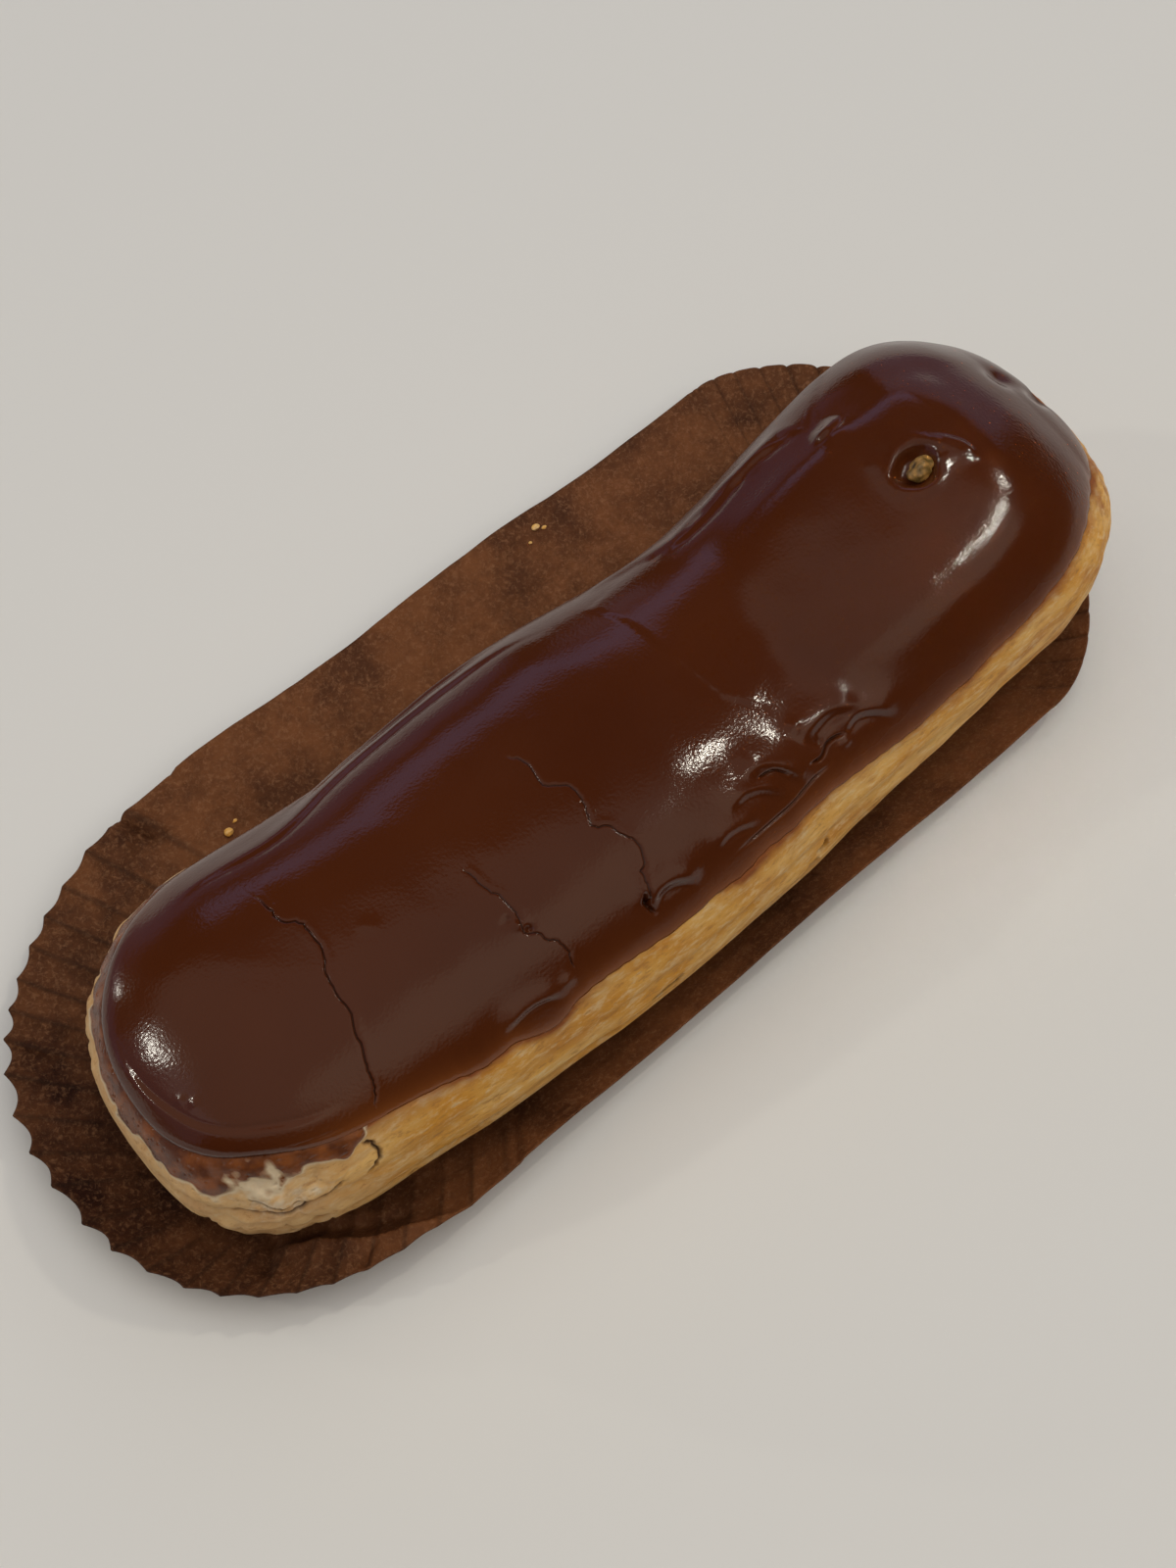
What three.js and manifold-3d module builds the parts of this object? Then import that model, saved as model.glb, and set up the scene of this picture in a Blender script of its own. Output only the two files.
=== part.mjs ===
// Chocolate eclair in its pleated paper case: a choux bun, the chocolate icing that
// coats its top, and the greaseproof case it lies in. Millimetres, +Z up. +X runs along
// the bun from its plain end to its humped end. The origin is under the middle of the
// case, on the surface that the case lies on.
import * as THREE from 'three';
import { mergeVertices } from 'three/addons/utils/BufferGeometryUtils.js';
import Module from 'manifold-3d';

const wasm = await Module();
wasm.setup();

// ---- Driving dimensions ----

// The bun's outer skin, with the icing on.
const PLAIN_TIP = -69.6;
const HUMPED_TIP = 67.8;
const PLAIN_ROUNDING = { length: 22, power: 2.35 };
const HUMPED_ROUNDING = { length: 20, power: 2.3 };
const WAIST_HEIGHT = 13;
const SEAT_HEIGHT = 0.8;
const SEAT_FLATTENING = 2.6;
const BELLY_FULLNESS = 2.3;
const TUCK = { below: 0.5, power: 1.5 };

// Across the bun: half its width, the height of its crown, its drift off the X axis, how
// full and flat-topped its section is, and how far its belly is tucked in below the lip.
const SECTIONS = [
  { x: -66, half: 20.9, crown: 27.8, drift: -1.9, full: 2.25, tuck: 0 },
  { x: -54, half: 20.6, crown: 28.3, drift: -1.2, full: 2.25, tuck: 0 },
  { x: -34, half: 20.7, crown: 29, drift: -1.8, full: 2.25, tuck: 0 },
  { x: -8, half: 21.7, crown: 29.5, drift: -0.6, full: 2.4, tuck: 0 },
  { x: 18, half: 19.9, crown: 28, drift: 0.4, full: 2.6, tuck: 0 },
  { x: 34, half: 21, crown: 32, drift: 2, full: 2.7, tuck: 0.13 },
  { x: 47, half: 21.8, crown: 34.5, drift: 3.4, full: 2.7, tuck: 0.22 },
  { x: 60, half: 21.6, crown: 32, drift: 4.6, full: 2.5, tuck: 0.22 },
];

// Ridges left along the sides by the star nozzle.
const GROOVE_SHARE = 0.022;
const RIDGE_ANGLE = THREE.MathUtils.degToRad(34);

// The icing, and how high its lip hangs at each station.
const ICING_THICKNESS = 1.8;
const ICING_CLEARANCE = 0.45;
const LIP_BEAD = 0.35;
const LIP_HEIGHTS = [
  { x: -66, height: 22.2 },
  { x: -56, height: 21.6 },
  { x: -37, height: 20.7 },
  { x: -10, height: 20.9 },
  { x: 20, height: 20.6 },
  { x: 36, height: 23.4 },
  { x: 50, height: 26.6 },
  { x: 60, height: 26 },
];
const LIP_WAVES = [
  { length: 31, height: 0.6, phase: 0.4 },
  { length: 13, height: 0.35, phase: 2.1 },
];
const UNDERCUT_FROM = 0.9;
const UNDERCUT_TO = 3;
const TIP_SHARE = 0.8;

// The hole in the hump and the nub of baked dough that shows in it.
const HOLE = { x: 40.9, y: 2.9, radius: 2.6, sides: 14 };
const NUB = { radius: 1.7, rise: 0.5 };

// The paper case. Its outline turns a little against the bun.
const CASE_CENTRE = new THREE.Vector3(-3.6, 7.7, 0);
const UP = new THREE.Vector3(0, 0, 1);
const CASE_TURN = THREE.MathUtils.degToRad(3.9);
const CASE_PAPER = 0.5;
const CASE_LEFT = { reach: 74.4, rounding: 39, power: 2.3, pleats: 20, pleatDepth: 0.8, rimHeight: 5.4 };
const CASE_RIGHT = { reach: 73, rounding: 24, power: 1.85, pleats: 20, pleatDepth: 0.45, rimHeight: 5.5 };
const CASE_HALF_WIDTH = 31.8;
const CASE_SIDE_RIM = 5;
const CASE_SIDE_WAVE = { depth: 0.7, length: 46 };
// How far the plain end of the case has slipped towards the near side, and between which
// stations it does so.
const CASE_SLIP = { distance: 2.5, from: -35, to: -75 };
const BASE_OFFSET = { x: 2, y: -5.6 };
const BASE_LENGTH = 128;
const BASE_WIDTH = 34;
const WALL_CURL = 1.3;
const PRESSED_GAP = 0.3;
const PRESSED_SLOPE = 0.2;

// How finely the faceted solids follow their curves.
const BUN_RINGS = 46;
const BUN_SIDES = 28;
const ICING_RINGS = 42;
const ICING_SIDES = 32;
const CASE_END_STEPS_PER_PLEAT = 4;
const CASE_SIDE_STEPS = 14;
const CASE_WALL_STEPS = 4;

// ---- Small helpers ----

const clamp01 = (value) => Math.min(1, Math.max(0, value));

// Follows a list of stations with a curve that is smooth at each of them.
function along(stations, key, x) {
  const last = stations.length - 1;
  if (x <= stations[0].x) return stations[0][key];
  if (x >= stations[last].x) return stations[last][key];
  const next = stations.findIndex((station) => station.x > x);
  const slope = (i) => {
    const before = stations[Math.max(0, i - 1)];
    const after = stations[Math.min(last, i + 1)];
    return (after[key] - before[key]) / (after.x - before.x);
  };
  const a = stations[next - 1];
  const b = stations[next];
  const span = b.x - a.x;
  const t = (x - a.x) / span;
  const ease = t * t * (3 - 2 * t);
  const leaving = t * (1 - t) * (1 - t) * span * slope(next - 1);
  const arriving = t * t * (t - 1) * span * slope(next);
  return a[key] + (b[key] - a[key]) * ease + leaving + arriving;
}

// Raises a sine or cosine to the power that turns an ellipse into a fuller oval.
const fuller = (value, fullness) => Math.sign(value) * Math.abs(value) ** (2 / fullness);

// How far out an oval end has got, from 0 at its tip to 1 where the straight part begins.
function endRounding(distance, { length, rounding = length, power }) {
  const inwards = 1 - clamp01(distance / rounding);
  return (1 - inwards ** power) ** (1 / power);
}

// Makes one closed geometry whose corners are shared.
function closedFrom(geometry) {
  geometry.deleteAttribute('normal');
  geometry.deleteAttribute('uv');
  const merged = mergeVertices(geometry, 1e-3);
  merged.computeVertexNormals();
  return merged;
}

// Moves each point of a sphere of rings and sides. place(u, side) gets 0 to 1 along X
// and 0 to 1 round the section.
function shapedSphere(sides, rings, place) {
  const geometry = new THREE.SphereGeometry(1, sides, rings);
  const positions = geometry.attributes.position;
  const corners = geometry.attributes.uv;
  for (let i = 0; i < positions.count; i += 1) {
    const ring = Math.round((1 - corners.getY(i)) * rings);
    const side = ((sides - Math.round(corners.getX(i) * sides)) % sides) / sides;
    const atPole = ring === 0 || ring === rings;
    const point = place((1 - Math.cos((Math.PI * ring) / rings)) / 2, atPole ? 0 : side, atPole);
    positions.setXYZ(i, point.x, point.y, point.z);
  }
  return closedFrom(geometry);
}

// ---- The bun's skin ----

function sectionAt(x, inset) {
  const round = endRounding(x - PLAIN_TIP - inset, PLAIN_ROUNDING)
    * endRounding(HUMPED_TIP - inset - x, HUMPED_ROUNDING);
  return {
    half: (along(SECTIONS, 'half', x) - inset) * round,
    rise: (along(SECTIONS, 'crown', x) - WAIST_HEIGHT - inset) * round,
    fall: (WAIST_HEIGHT - SEAT_HEIGHT + SEAT_FLATTENING - inset) * round,
    drift: along(SECTIONS, 'drift', x),
    full: along(SECTIONS, 'full', x),
    tuck: along(SECTIONS, 'tuck', x),
  };
}

// A point of the skin, moved in by inset and then drawn in by a groove's share of its
// reach. angle is 0 on the +Y side and 90 degrees on top.
function skinPoint(x, angle, inset, groove = 0) {
  const section = sectionAt(x, inset);
  const shrink = 1 - groove;
  const up = Math.sin(angle);
  const tucked = section.tuck * Math.max(0, TUCK.below - up) ** TUCK.power;
  const half = shrink * section.half * (1 - tucked);
  const y = section.drift + half * fuller(Math.cos(angle), section.full);
  const above = section.rise * fuller(up, section.full);
  const below = section.fall * fuller(up, BELLY_FULLNESS);
  const z = WAIST_HEIGHT + shrink * (up > 0 ? above : below);
  return new THREE.Vector3(x, y, Math.max(z, SEAT_HEIGHT));
}

// ---- The icing's lip ----

function lipHeight(x) {
  const waves = LIP_WAVES.map((w) => w.height * Math.sin((2 * Math.PI * x) / w.length + w.phase));
  return along(LIP_HEIGHTS, 'height', x) + waves.reduce((sum, wave) => sum + wave, 0);
}

// The angle above the waist at which the icing ends: 90 degrees where there is none.
function lipAngle(x) {
  const { rise, full } = sectionAt(x, 0);
  const share = (lipHeight(x) - WAIST_HEIGHT) / Math.max(rise, 1e-6);
  return Math.asin(clamp01(share) ** (full / 2));
}

// Walks in from a tip to the first station that the icing covers.
function icingTip(from, direction) {
  const step = 0.05 * direction;
  let x = from;
  while (lipAngle(x) > Math.PI / 2 - 0.15) {
    x += step;
  }
  return x;
}

// ---- The solids ----

function solidFrom(geometry) {
  const mesh = new wasm.Mesh({
    numProp: 3,
    vertProperties: new Float32Array(geometry.attributes.position.array),
    triVerts: new Uint32Array(geometry.index.array),
  });
  return new wasm.Manifold(mesh);
}

function geometryFrom(solid) {
  const mesh = solid.getMesh();
  const geometry = new THREE.BufferGeometry();
  geometry.setAttribute('position', new THREE.BufferAttribute(mesh.vertProperties, 3));
  geometry.setIndex(new THREE.BufferAttribute(mesh.triVerts, 1));
  geometry.computeVertexNormals();
  return geometry;
}

// The bun sinks in under the icing, and swells out again below the lip.
function bunPoint(u, side) {
  const covered = ICING_THICKNESS + ICING_CLEARANCE;
  const x = THREE.MathUtils.lerp(PLAIN_TIP, HUMPED_TIP, u);
  const angle = 2 * Math.PI * side;
  const height = Math.asin(Math.sin(angle));
  const belowLip = lipHeight(x) - skinPoint(x, angle, 0).z;
  const shown = clamp01((belowLip - UNDERCUT_FROM) / (UNDERCUT_TO - UNDERCUT_FROM));
  const sunk = covered * (1 - shown * shown * (3 - 2 * shown));
  const inset = Math.min(sunk, TIP_SHARE * (x - PLAIN_TIP), TIP_SHARE * (HUMPED_TIP - x));
  const groove = GROOVE_SHARE * shown * Math.cos((2 * Math.PI * height) / RIDGE_ANGLE) ** 2;
  return skinPoint(x, angle, inset, groove);
}

function holeCutter() {
  const cutter = new THREE.CylinderGeometry(HOLE.radius, HOLE.radius, 12, HOLE.sides);
  cutter.rotateX(Math.PI / 2);
  cutter.translate(HOLE.x, HOLE.y, along(SECTIONS, 'crown', HOLE.x));
  return solidFrom(closedFrom(cutter));
}

function chouxBun() {
  const bun = solidFrom(shapedSphere(BUN_SIDES, BUN_RINGS, bunPoint));
  const top = skinPoint(HOLE.x, Math.PI / 2, ICING_THICKNESS + ICING_CLEARANCE);
  const nub = new THREE.SphereGeometry(NUB.radius, 12, 8);
  nub.translate(HOLE.x, HOLE.y, top.z + NUB.rise);
  return geometryFrom(bun.add(solidFrom(closedFrom(nub))));
}

// The icing's section is a crescent: out along its top, round its lip, back underneath.
function chocolateIcing() {
  const start = icingTip(PLAIN_TIP, 1);
  const end = icingTip(HUMPED_TIP, -1);
  const icing = shapedSphere(ICING_SIDES, ICING_RINGS, (u, side, atPole) => {
    const x = THREE.MathUtils.lerp(start, end, u);
    const lip = lipAngle(x);
    if (atPole) return skinPoint(x, Math.PI / 2, ICING_THICKNESS / 2);
    const onTop = side < 0.5;
    const share = onTop ? side * 2 : 2 - side * 2;
    const sweep = THREE.MathUtils.lerp(lip, Math.PI - lip, share);
    const nearLip = Math.max(0, 1 - Math.min(share, 1 - share) * 8);
    const fullThickness = Math.sin(Math.PI * u) ** 0.5;
    const underneath = ICING_THICKNESS * THREE.MathUtils.lerp(0.6, 1, fullThickness);
    const inset = onTop ? LIP_BEAD * (nearLip - 0.5) : underneath;
    return skinPoint(x, sweep, inset);
  });
  return geometryFrom(solidFrom(icing).subtract(holeCutter()));
}

// ---- The paper case ----

// Steps round the case, close together on the pleated ends and far apart on the sides.
// Each says which end it is on, and how far round that end or along that side.
function caseSteps() {
  const steps = [];
  const addEnd = (end, startAngle) => {
    const count = end.pleats * CASE_END_STEPS_PER_PLEAT;
    for (let i = 0; i < count; i += 1) {
      steps.push({ angle: startAngle + (Math.PI * i) / count, end, pleat: (i / count) * end.pleats });
    }
  };
  const addSide = (from, to, sign) => {
    for (let i = 0; i < CASE_SIDE_STEPS; i += 1) {
      steps.push({ along: THREE.MathUtils.lerp(from, to, i / CASE_SIDE_STEPS), sign });
    }
  };
  addEnd(CASE_RIGHT, -Math.PI / 2);
  addSide(1, 0, 1);
  addEnd(CASE_LEFT, Math.PI / 2);
  addSide(0, 1, -1);
  return steps;
}

// The rim's outline at a step, in the case's own frame.
function rimPoint(step) {
  const leftCorner = -(CASE_LEFT.reach - CASE_LEFT.rounding);
  const rightCorner = CASE_RIGHT.reach - CASE_RIGHT.rounding;
  if (!step.end) {
    const x = THREE.MathUtils.lerp(leftCorner, rightCorner, step.along);
    return new THREE.Vector3(x, step.sign * CASE_HALF_WIDTH, CASE_SIDE_RIM);
  }
  const { rounding, power, pleatDepth, rimHeight } = step.end;
  const across = fuller(Math.sin(step.angle), power);
  const out = fuller(Math.cos(step.angle), power);
  const corner = step.end === CASE_LEFT ? leftCorner : rightCorner;
  const fade = Math.abs(Math.cos(step.angle)) ** 0.5;
  const fold = pleatDepth * Math.cos(2 * Math.PI * step.pleat) * fade;
  const rise = THREE.MathUtils.lerp(CASE_SIDE_RIM, rimHeight, fade);
  const reach = rounding + fold * 0.7;
  return new THREE.Vector3(corner + reach * out, across * (CASE_HALF_WIDTH + fold * 0.7), rise + fold);
}

// The base's outline lies under the bun and follows the rim's outline at a smaller size.
function basePoint(rim) {
  const lengthShare = BASE_LENGTH / (CASE_LEFT.reach + CASE_RIGHT.reach);
  const widthShare = BASE_WIDTH / (2 * CASE_HALF_WIDTH);
  return new THREE.Vector3(BASE_OFFSET.x + rim.x * lengthShare, BASE_OFFSET.y + rim.y * widthShare, 0);
}

// The long sides of the rim rise and fall in a slow wave.
function sideWave(step, rim) {
  return step.end ? 0 : CASE_SIDE_WAVE.depth * Math.sin((2 * Math.PI * rim.x) / CASE_SIDE_WAVE.length);
}

// The bun's weight keeps the paper below the bun's underside, wherever it lies over it.
function pressedHeight({ x, y }) {
  if (x <= PLAIN_TIP || x >= HUMPED_TIP) return Infinity;
  const section = sectionAt(x, 0);
  const across = Math.abs(y - section.drift) / section.half;
  if (across >= 1) return Infinity;
  const depth = section.fall * (1 - across ** BELLY_FULLNESS) ** (1 / BELLY_FULLNESS);
  const aboveSeat = Math.max(0, WAIST_HEIGHT - depth - SEAT_HEIGHT);
  return SEAT_HEIGHT + aboveSeat * (1 - PRESSED_SLOPE) - PRESSED_GAP - CASE_PAPER;
}

function paperCase() {
  const steps = caseSteps();
  const wall = Array.from({ length: CASE_WALL_STEPS + 1 }, (_, i) => i / CASE_WALL_STEPS);
  const profile = [
    new THREE.Vector2(0, 0),
    ...wall.map((share) => new THREE.Vector2(1 + share, 0)),
    ...[...wall].reverse().map((share) => new THREE.Vector2(1 + share, CASE_PAPER)),
    new THREE.Vector2(0, CASE_PAPER),
  ];
  const geometry = new THREE.LatheGeometry(profile, steps.length);
  const positions = geometry.attributes.position;
  for (let i = 0; i < positions.count; i += 1) {
    const step = steps[Math.floor(i / profile.length) % steps.length];
    const { x: ring, y: lift } = profile[i % profile.length];
    const rim = rimPoint(step);
    const base = basePoint(rim);
    const share = clamp01(ring - 1);
    const centre = new THREE.Vector3(BASE_OFFSET.x, BASE_OFFSET.y, 0);
    const point = ring === 0 ? centre : base.clone().lerp(rim, share);
    const curl = (rim.z + sideWave(step, rim)) * share ** WALL_CURL;
    point.applyAxisAngle(UP, CASE_TURN);
    point.add(CASE_CENTRE);
    point.y -= CASE_SLIP.distance * THREE.MathUtils.smoothstep(-point.x, -CASE_SLIP.from, -CASE_SLIP.to);
    positions.setXYZ(i, point.x, point.y, Math.min(curl, pressedHeight(point)) + lift);
  }
  return closedFrom(geometry);
}

// ---- The eclair ----

const materials = {
  choux: new THREE.MeshStandardMaterial({ color: '#b98a4a', roughness: 0.75, metalness: 0 }),
  icing: new THREE.MeshStandardMaterial({ color: '#3c1d10', roughness: 0.3, metalness: 0 }),
  paper: new THREE.MeshStandardMaterial({ color: '#432616', roughness: 0.8, metalness: 0 }),
};

function named(name, geometry, material) {
  const mesh = new THREE.Mesh(geometry, material);
  mesh.name = name;
  return mesh;
}

const eclair = new THREE.Group();
eclair.add(
  named('choux_bun', chouxBun(), materials.choux),
  named('chocolate_icing', chocolateIcing(), materials.icing),
  named('paper_case', paperCase(), materials.paper),
);

// The shapes are drawn about the bun's own axis, and then set down with the middle of the
// whole object over the origin.
const outside = new THREE.Box3().setFromObject(eclair);
const middle = outside.getCenter(new THREE.Vector3());
eclair.position.set(-middle.x, -middle.y, -outside.min.z);

export default eclair;
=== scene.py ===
"""A chocolate eclair in its pleated paper case: the looks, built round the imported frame.

The script works in millimetres in the bun's own frame: +X runs along the bun from its
plain end to its humped end, +Z is up, and the near side is -Y. SHIFT carries that frame
to the row's frame, and MM turns it to metres.
"""
import math

import bpy
import numpy as np
from mathutils import Matrix, Vector


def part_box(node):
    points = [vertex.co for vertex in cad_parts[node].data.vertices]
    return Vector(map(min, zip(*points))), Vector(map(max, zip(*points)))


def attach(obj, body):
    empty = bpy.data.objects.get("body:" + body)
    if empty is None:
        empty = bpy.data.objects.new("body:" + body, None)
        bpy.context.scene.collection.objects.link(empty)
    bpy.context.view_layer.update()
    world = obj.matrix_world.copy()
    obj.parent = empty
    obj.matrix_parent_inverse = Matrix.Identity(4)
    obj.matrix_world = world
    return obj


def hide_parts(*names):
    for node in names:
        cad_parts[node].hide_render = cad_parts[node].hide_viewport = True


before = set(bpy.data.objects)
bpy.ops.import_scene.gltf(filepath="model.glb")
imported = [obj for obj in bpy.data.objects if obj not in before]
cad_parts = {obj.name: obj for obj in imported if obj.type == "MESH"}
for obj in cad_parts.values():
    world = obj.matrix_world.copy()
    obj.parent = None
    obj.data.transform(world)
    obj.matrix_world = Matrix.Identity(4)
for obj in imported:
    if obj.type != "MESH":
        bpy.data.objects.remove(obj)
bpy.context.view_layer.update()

MM = 0.001

# ---- Driving dimensions, in millimetres ----

# The bun's outer skin with the icing on, as in the frame.
PLAIN_TIP = -69.6
HUMPED_TIP = 67.8
PLAIN_ROUNDING = (22, 2.35)
HUMPED_ROUNDING = (20, 2.3)
WAIST_HEIGHT = 13
SEAT_HEIGHT = 0.32
SEAT_FLATTENING = 2.6
BELLY_DEPTH = WAIST_HEIGHT - SEAT_HEIGHT + SEAT_FLATTENING
BELLY_FULLNESS = 2.3
TUCK_BELOW = 0.5
TUCK_POWER = 1.5
BUN_MIDDLE_Y = 0.96

# Stations along the bun: x, half width, crown height, drift off the X axis, how full and
# flat-topped the section is, and how far its belly is tucked in below the lip.
SECTIONS = (
    (-66, 20.9, 27.8, -1.9, 2.25, 0),
    (-54, 20.6, 28.3, -1.2, 2.25, 0),
    (-34, 20.7, 29, -1.8, 2.25, 0),
    (-8, 21.7, 29.5, -0.6, 2.4, 0),
    (18, 19.9, 28, 0.4, 2.6, 0),
    (34, 21, 32, 2, 2.7, 0.13),
    (47, 21.8, 34.5, 3.4, 2.7, 0.22),
    (60, 21.6, 32, 4.6, 2.5, 0.22),
)

# The icing's lip: x, and its height on the near side and on the far side.
LIP_HEIGHTS = (
    (-68, 20.6, 20.9),
    (-65, 21.6, 21.4),
    (-61, 22.5, 22),
    (-53, 22.2, 21.2),
    (-44, 21.6, 20.3),
    (-38, 20.8, 20.9),
    (-31, 20.5, 21.3),
    (-28.5, 19.9, 20.6),
    (-24, 20.9, 19.8),
    (-10, 21.1, 20.4),
    (-3, 21, 20.9),
    (8, 20.8, 20),
    (19, 20.4, 19.4),
    (27, 21.2, 20.2),
    (34, 22.9, 21.6),
    (42, 25.2, 23.6),
    (47, 26.4, 24.9),
    (54, 27.2, 25),
    (58, 26.9, 23),
    (63, 25.2, 22.2),
)
ICING_THICKNESS = 1.8
HIDDEN_DEPTH = 3.4


def fullness_power(value, fullness):
    """Turns a sine or cosine into that of a fuller oval."""
    return np.sign(value) * np.abs(value) ** (2 / fullness)


def along(stations, column, x):
    """A column of a station list, followed by a curve that is smooth at each station."""
    table = np.array(stations, float)
    at, value = table[:, 0], table[:, column]
    slope = np.gradient(value, at)
    x = np.clip(x, at[0], at[-1])
    i = np.clip(np.searchsorted(at, x) - 1, 0, len(at) - 2)
    span = at[i + 1] - at[i]
    t = (x - at[i]) / span
    ease = t * t * (3 - 2 * t)
    leaving = t * (1 - t) ** 2 * span * slope[i]
    arriving = t * t * (t - 1) * span * slope[i + 1]
    return value[i] + (value[i + 1] - value[i]) * ease + leaving + arriving


def end_rounding(distance, length, power):
    inwards = 1 - np.clip(distance / length, 0, 1)
    return (1 - inwards**power) ** (1 / power)


def both_ends(x):
    """How much of its full section the bun has at x: it runs out to 0 at its two tips."""
    plain_end = end_rounding(x - PLAIN_TIP, *PLAIN_ROUNDING)
    return plain_end * end_rounding(HUMPED_TIP - x, *HUMPED_ROUNDING)


def bell(value):
    """1 at 0, dying away smoothly on both sides."""
    return np.exp(-(value**2))


def smoothstep(low, high, value):
    t = np.clip((value - low) / (high - low), 0, 1)
    return t * t * (3 - 2 * t)


# ---- The bun's skin ----


def skin(x, angle):
    """A point of the skin. The angle is 0 on the far side, 90 degrees on top and 180 on
    the near side."""
    rounding = both_ends(x)
    half = along(SECTIONS, 1, x) * rounding
    rise = (along(SECTIONS, 2, x) - WAIST_HEIGHT) * rounding
    fall = BELLY_DEPTH * rounding
    fullness = along(SECTIONS, 4, x)
    up = np.sin(angle)
    tuck = along(SECTIONS, 5, x) * np.maximum(TUCK_BELOW - up, 0) ** TUCK_POWER
    across = half * (1 - tuck) * fullness_power(np.cos(angle), fullness)
    y = along(SECTIONS, 3, x) + across
    above = rise * fullness_power(up, fullness)
    below = fall * fullness_power(up, BELLY_FULLNESS)
    z = WAIST_HEIGHT + np.where(up > 0, above, below)
    return np.stack([x, y, np.maximum(z, SEAT_HEIGHT)], -1)


def skin_normal(x, angle):
    """The skin's outward normal, from points a little to each side."""
    step = 0.2
    inside = np.clip(x, PLAIN_TIP + 2 * step, HUMPED_TIP - 2 * step)
    forward = skin(inside + step, angle) - skin(inside - step, angle)
    turn = step / 20
    round_ = skin(inside, angle + turn) - skin(inside, angle - turn)
    normal = np.cross(round_, forward)
    return normal / np.maximum(np.linalg.norm(normal, axis=-1, keepdims=True), 1e-9)


def skin_top(x, y):
    """The skin's height over a plan point."""
    rounding = both_ends(x)
    half = along(SECTIONS, 1, x) * rounding
    rise = (along(SECTIONS, 2, x) - WAIST_HEIGHT) * rounding
    fullness = along(SECTIONS, 4, x)
    across = np.clip(np.abs(y - along(SECTIONS, 3, x)) / np.maximum(half, 1e-6), 0, 1)
    return WAIST_HEIGHT + rise * (1 - across**fullness) ** (1 / fullness)


def lip_at(x, column):
    """The lip's height on one side: smooth round the plain end, ragged along the sides."""
    ragged = 0.18 * np.sin(x / 1.9 + 2 * np.sin(x / 5.3))
    ragged += 0.07 * np.sin(x / 0.43 + 3 * np.sin(x / 3.1))
    return along(LIP_HEIGHTS, column, x) + ragged * smoothstep(-48, -38, x)


def lip_height(x, angle):
    """The lip's height, easing from the near side's to the far side's round the ends."""
    near = smoothstep(-0.5, 0.5, -np.cos(angle))
    return near * lip_at(x, 1) + (1 - near) * lip_at(x, 2)


def lip_angle(x, near):
    """The angle above the waist at which the icing ends, on one side."""
    top = skin(x, np.full_like(x, math.pi / 2))[:, 2]
    height = lip_at(x, 1 if near else 2)
    share = np.clip((height - WAIST_HEIGHT) / np.maximum(top - WAIST_HEIGHT, 1e-6), 0, 1)
    return np.arcsin(share ** (along(SECTIONS, 4, x) / 2))


# ---- Noise, seeded and the same each run ----


def lattice_noise(points, size, seed):
    """Smooth noise from -1 to 1, with lumps about size millimetres across."""
    p = np.asarray(points, float) / np.asarray(size, float)
    cell = np.floor(p).astype(np.int64)
    part = p - cell
    ease = part * part * (3 - 2 * part)
    total = np.zeros(len(p))
    for corner in range(8):
        bits = np.array([corner & 1, corner >> 1 & 1, corner >> 2 & 1])
        key = cell + bits
        mixed = key[:, 0] * 73856093 ^ key[:, 1] * 19349663 ^ key[:, 2] * 83492791
        mixed = (mixed ^ seed * 2654435761) & 0xFFFFFFFF
        mixed = (mixed ^ (mixed >> 15)) * 2246822519 & 0xFFFFFFFF
        mixed = (mixed ^ (mixed >> 13)) * 3266489917 & 0xFFFFFFFF
        value = (mixed ^ (mixed >> 16)) / 0xFFFFFFFF * 2 - 1
        weight = np.prod(np.where(bits, ease, 1 - ease), axis=1)
        total += value * weight
    return total


def lumps(points, layers):
    """Layers of noise added up, each with its height, its size and its seed."""
    return sum(height * lattice_noise(points, size, seed) for height, size, seed in layers)


ICING_SWELLS = ((0.22, 17, 1), (0.1, 7, 2), (0.03, 2.6, 3))
CRUST_GRAIN = ((0.12, 1.3, 21), (0.07, 0.7, 22))
CRUST_LUMPS = ((0.25, 9, 23), (0.09, 3.4, 24))
PLAIN_END_LUMPS = ((0.4, 3.6, 52), (0.25, 1.5, 51))
BARE_EDGE = ((0.8, 2, 43), (0.6, 0.8, 45))
GLAZE_EDGE = ((1.5, 4.4, 44), (0.6, 1.3, 47))
PAPER_CRINKLE = ((0.26, 11, 62), (0.14, 4.5, 63), (0.06, 2, 64))
NUB_LUMPS = ((0.22, 0.6, 81), (0.1, 0.25, 83))


# ---- Paths drawn on the skin ----

FAR_AWAY = 1e9


def roughened(points, roughness, seed):
    """Breaks each stretch of a path in two, three times over, and pushes its middle aside
    by a random share of its length."""
    rng = np.random.default_rng(seed)
    path = np.array(points, float)
    for _ in range(3):
        ahead = path[1:] - path[:-1]
        aside = np.stack([-ahead[:, 1], ahead[:, 0]], -1)
        push = rng.normal(0, roughness, (len(ahead), 1))
        woven = np.empty((2 * len(path) - 1, 2))
        woven[0::2] = path
        woven[1::2] = (path[1:] + path[:-1]) / 2 + aside * push
        path = woven
    return path


def lifted(plan):
    """Plan points laid on the skin."""
    path = np.array(plan, float)
    return np.column_stack([path, skin_top(path[:, 0], path[:, 1])])


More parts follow.
